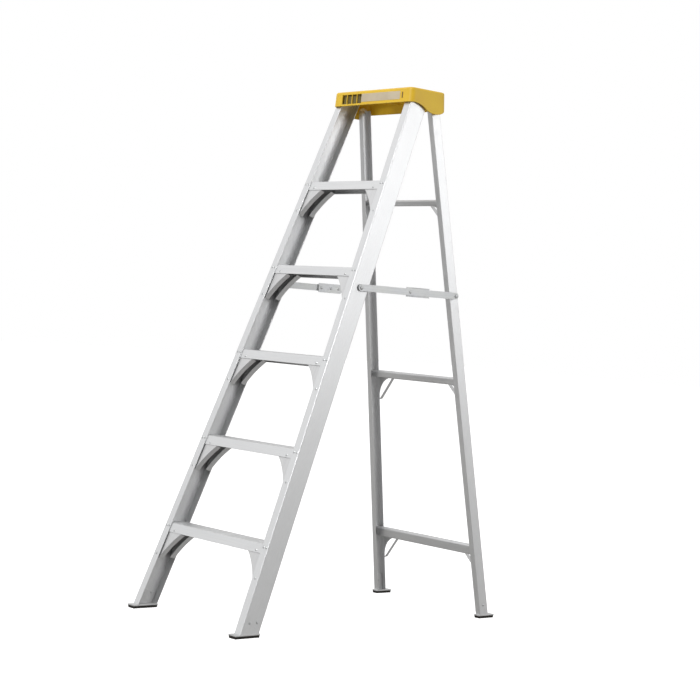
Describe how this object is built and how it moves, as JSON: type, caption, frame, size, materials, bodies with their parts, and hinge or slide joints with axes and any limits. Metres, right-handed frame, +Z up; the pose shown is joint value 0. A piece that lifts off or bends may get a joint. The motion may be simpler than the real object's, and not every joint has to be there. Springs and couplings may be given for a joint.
{
  "type": "step ladder",
  "caption": "Free-standing aluminium step ladder with channel rails, braced treads, a hinged rear section, folding side spreaders and a moulded yellow top cap.",
  "frame": {"origin": "on the floor, under the middle of the footprint of the four soles", "axes": "+X across the ladder to a climber's right, +Y from the climber's side to the rear legs, +Z up"},
  "size_m": [0.5702, 1.1058, 1.73],
  "materials": {
    "rail_aluminium": "mill-finish extrusion, satin",
    "tread_aluminium": "ribbed extrusion, satin",
    "brace_aluminium": "pressed sheet, satin",
    "foot_aluminium": "pressed plate, satin",
    "fastener_steel": "zinc plated",
    "spreader_steel": "zinc plated strip",
    "cap_plastic": "moulded, fine texture",
    "sole_rubber": "dark slotted rubber"
  },
  "bodies": {
    "front_section": {"front_foot_left": "foot_aluminium", "front_foot_right": "foot_aluminium", "front_rail_left": "rail_aluminium", "front_rail_right": "rail_aluminium", "front_rivets": "fastener_steel", "front_soles": "sole_rubber", "hinge_bolts": "fastener_steel", "spreader_front_pins": "fastener_steel", "step_1": "tread_aluminium", "step_1_front_brace_left": "brace_aluminium", "step_1_front_brace_right": "brace_aluminium", "step_1_rear_brace_left": "brace_aluminium", "step_1_rear_brace_right": "brace_aluminium", "step_2": "tread_aluminium", "step_2_front_brace_left": "brace_aluminium", "step_2_front_brace_right": "brace_aluminium", "step_2_rear_brace_left": "brace_aluminium", "step_2_rear_brace_right": "brace_aluminium", "step_3": "tread_aluminium", "step_3_front_brace_left": "brace_aluminium", "step_3_front_brace_right": "brace_aluminium", "step_3_rear_brace_left": "brace_aluminium", "step_3_rear_brace_right": "brace_aluminium", "step_4": "tread_aluminium", "step_4_front_brace_left": "brace_aluminium", "step_4_front_brace_right": "brace_aluminium", "step_4_rear_brace_left": "brace_aluminium", "step_4_rear_brace_right": "brace_aluminium", "step_5": "tread_aluminium", "step_5_front_brace_left": "brace_aluminium", "step_5_front_brace_right": "brace_aluminium", "step_5_rear_brace_left": "brace_aluminium", "step_5_rear_brace_right": "brace_aluminium", "top_cap": "cap_plastic"},
    "rear_section": {"rear_bar_lower": "rail_aluminium", "rear_bar_middle": "rail_aluminium", "rear_bar_upper": "rail_aluminium", "rear_foot_left": "foot_aluminium", "rear_foot_right": "foot_aluminium", "rear_gusset_lower_left": "brace_aluminium", "rear_gusset_lower_right": "brace_aluminium", "rear_gusset_middle_left": "brace_aluminium", "rear_gusset_middle_right": "brace_aluminium", "rear_gusset_upper_left": "brace_aluminium", "rear_gusset_upper_right": "brace_aluminium", "rear_rail_left": "rail_aluminium", "rear_rail_right": "rail_aluminium", "rear_rivets": "fastener_steel", "rear_soles": "sole_rubber", "spreader_rear_pins": "fastener_steel"},
    "spreader_front_left": {"spreader_elbow_rivet_left": "fastener_steel", "spreader_front_link_left": "spreader_steel"},
    "spreader_front_right": {"spreader_elbow_rivet_right": "fastener_steel", "spreader_front_link_right": "spreader_steel"},
    "spreader_rear_left": {"spreader_lock_plate_left": "spreader_steel", "spreader_lock_rivets_left": "fastener_steel", "spreader_rear_link_left": "spreader_steel"},
    "spreader_rear_right": {"spreader_lock_plate_right": "spreader_steel", "spreader_lock_rivets_right": "fastener_steel", "spreader_rear_link_right": "spreader_steel"}
  },
  "joints": [
    {"name": "rear_fold", "type": "hinge", "parent": "front_section", "child": "rear_section", "pos_m": [0, 0.19996, 1.675], "axis": [-1, 0, 0], "range_deg": [0, 29]},
    {"name": "spreader_front_left_pivot", "type": "hinge", "parent": "front_section", "child": "spreader_front_left", "pos_m": [-0.22154, -0.10645, 1.07], "axis": [1, 0, 0], "range_deg": [0, 85.3]},
    {"name": "spreader_rear_left_pivot", "type": "hinge", "parent": "rear_section", "child": "spreader_rear_left", "pos_m": [-0.21182, 0.31253, 1.07], "axis": [-1, 0, 0], "range_deg": [0, 34.7]},
    {"name": "spreader_front_right_pivot", "type": "hinge", "parent": "front_section", "child": "spreader_front_right", "pos_m": [0.22154, -0.10645, 1.07], "axis": [1, 0, 0], "range_deg": [0, 85.3]},
    {"name": "spreader_rear_right_pivot", "type": "hinge", "parent": "rear_section", "child": "spreader_rear_right", "pos_m": [0.21182, 0.31253, 1.07], "axis": [-1, 0, 0], "range_deg": [0, 34.7]}
  ],
  "couplings": [
    {"joint": "spreader_front_left_pivot", "follows": "rear_fold", "ratio": 2.9345},
    {"joint": "spreader_rear_left_pivot", "follows": "rear_fold", "ratio": 1.1897},
    {"joint": "spreader_front_right_pivot", "follows": "rear_fold", "ratio": 2.9345},
    {"joint": "spreader_rear_right_pivot", "follows": "rear_fold", "ratio": 1.1897}
  ]
}
